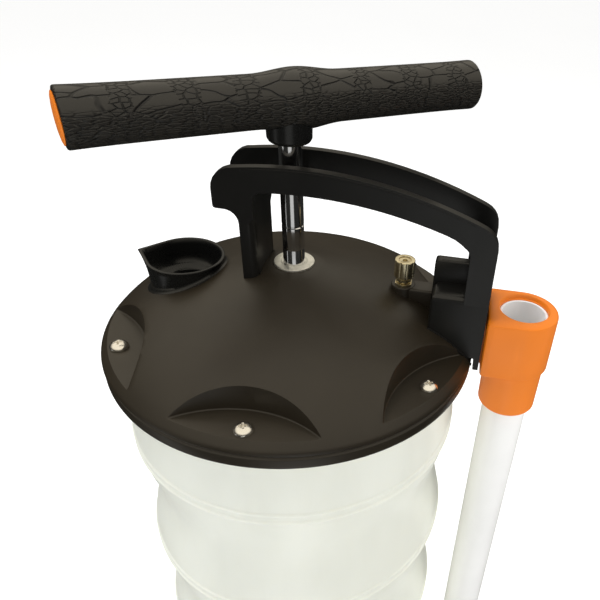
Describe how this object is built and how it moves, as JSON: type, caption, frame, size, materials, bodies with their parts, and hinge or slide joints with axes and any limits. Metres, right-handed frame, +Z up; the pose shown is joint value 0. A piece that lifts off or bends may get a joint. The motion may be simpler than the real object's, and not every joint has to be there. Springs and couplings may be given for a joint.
{
  "type": "fluid transfer pump",
  "caption": "Hand-operated vacuum fluid extractor with a banded tank, domed lid, carrying handle, plunger pump with tee handle, pouring spout and tube holder.",
  "frame": {"origin": "centre of the tank's base, on the ground", "axes": "+Z up along the pump rod, +X along the carrying handle from the spout to the tube holder"},
  "size_m": [0.2506, 0.2072, 0.4751],
  "materials": {
    "milky_plastic": "milky translucent blow-moulded polyethylene",
    "lid_plastic": "brown-black satin moulded plastic",
    "handle_plastic": "black satin moulded plastic",
    "spout_plastic": "black smooth moulded plastic",
    "orange_plastic": "orange semi-gloss moulded plastic",
    "tube_plastic": "white smooth extruded plastic",
    "cylinder_plastic": "pale smooth extruded plastic",
    "grip_rubber": "black rubber with a coarse grained surface",
    "black_rubber": "black moulded rubber",
    "rod_chrome": "polished chrome plate",
    "bush_metal": "turned pale metal, fine rings",
    "screw_steel": "bright plated steel",
    "brass": "machined brass, lightly plated"
  },
  "bodies": {
    "tank_and_lid": {"tank": "milky_plastic", "lid": "lid_plastic", "lid_gasket": "black_rubber", "lid_screws": "screw_steel", "flange_inserts": "brass", "pour_spout": "spout_plastic", "spout_seal_ring": "black_rubber", "carry_handle": "handle_plastic", "handle_screws": "screw_steel", "tube_holder": "orange_plastic", "holder_screws": "screw_steel", "storage_tube": "tube_plastic", "rod_guide_bush": "bush_metal", "rod_wiper": "black_rubber", "cylinder_head": "spout_plastic", "cylinder_seal_ring": "black_rubber", "pump_cylinder": "cylinder_plastic", "foot_valve_body": "spout_plastic", "foot_valve_guard": "cylinder_plastic", "intake_riser": "cylinder_plastic", "float_cage": "tube_plastic", "float_seat": "black_rubber", "release_valve_body": "brass", "release_valve_nut": "brass", "release_seal_ring": "black_rubber"},
    "piston_set": {"piston": "spout_plastic", "piston_cup": "black_rubber", "piston_washer": "screw_steel"},
    "rod_and_tee": {"pump_rod": "rod_chrome", "piston_nut": "screw_steel", "tee_core": "spout_plastic", "handle_grip": "grip_rubber", "grip_end_cap_left": "orange_plastic", "grip_end_cap_right": "orange_plastic", "rod_lock_nut": "screw_steel"},
    "foot_disc": {"foot_valve_disc": "black_rubber"},
    "float": {"float_ball": "tube_plastic"},
    "needle": {"release_needle": "brass"},
    "knob": {"release_valve_knob": "brass"}
  },
  "joints": [
    {"name": "pump_stroke", "type": "slide", "parent": "tank_and_lid", "child": "piston_set", "axis": [0, 0, 1], "range_m": [-0.01, 0.215]},
    {"name": "handle_turn", "type": "hinge", "parent": "piston_set", "child": "rod_and_tee", "pos_m": [0, 0, 0.4], "axis": [0, 0, 1], "continuous": true},
    {"name": "foot_disc_lift", "type": "slide", "parent": "tank_and_lid", "child": "foot_disc", "axis": [0, 0, 1], "range_m": [0, 0.0018]},
    {"name": "float_rise", "type": "slide", "parent": "tank_and_lid", "child": "float", "axis": [0, 0, 1], "range_m": [0, 0.0205]},
    {"name": "needle_lift", "type": "slide", "parent": "tank_and_lid", "child": "needle", "axis": [0, 0, 1], "range_m": [0, 0.0016]},
    {"name": "knob_turn", "type": "hinge", "parent": "needle", "child": "knob", "pos_m": [0.0595, 0.008, 0.37], "axis": [0, 0, 1], "range_deg": [0, 720]}
  ],
  "couplings": [
    {"joint": "knob_turn", "follows": "needle_lift", "rad_per_m": 7854}
  ]
}
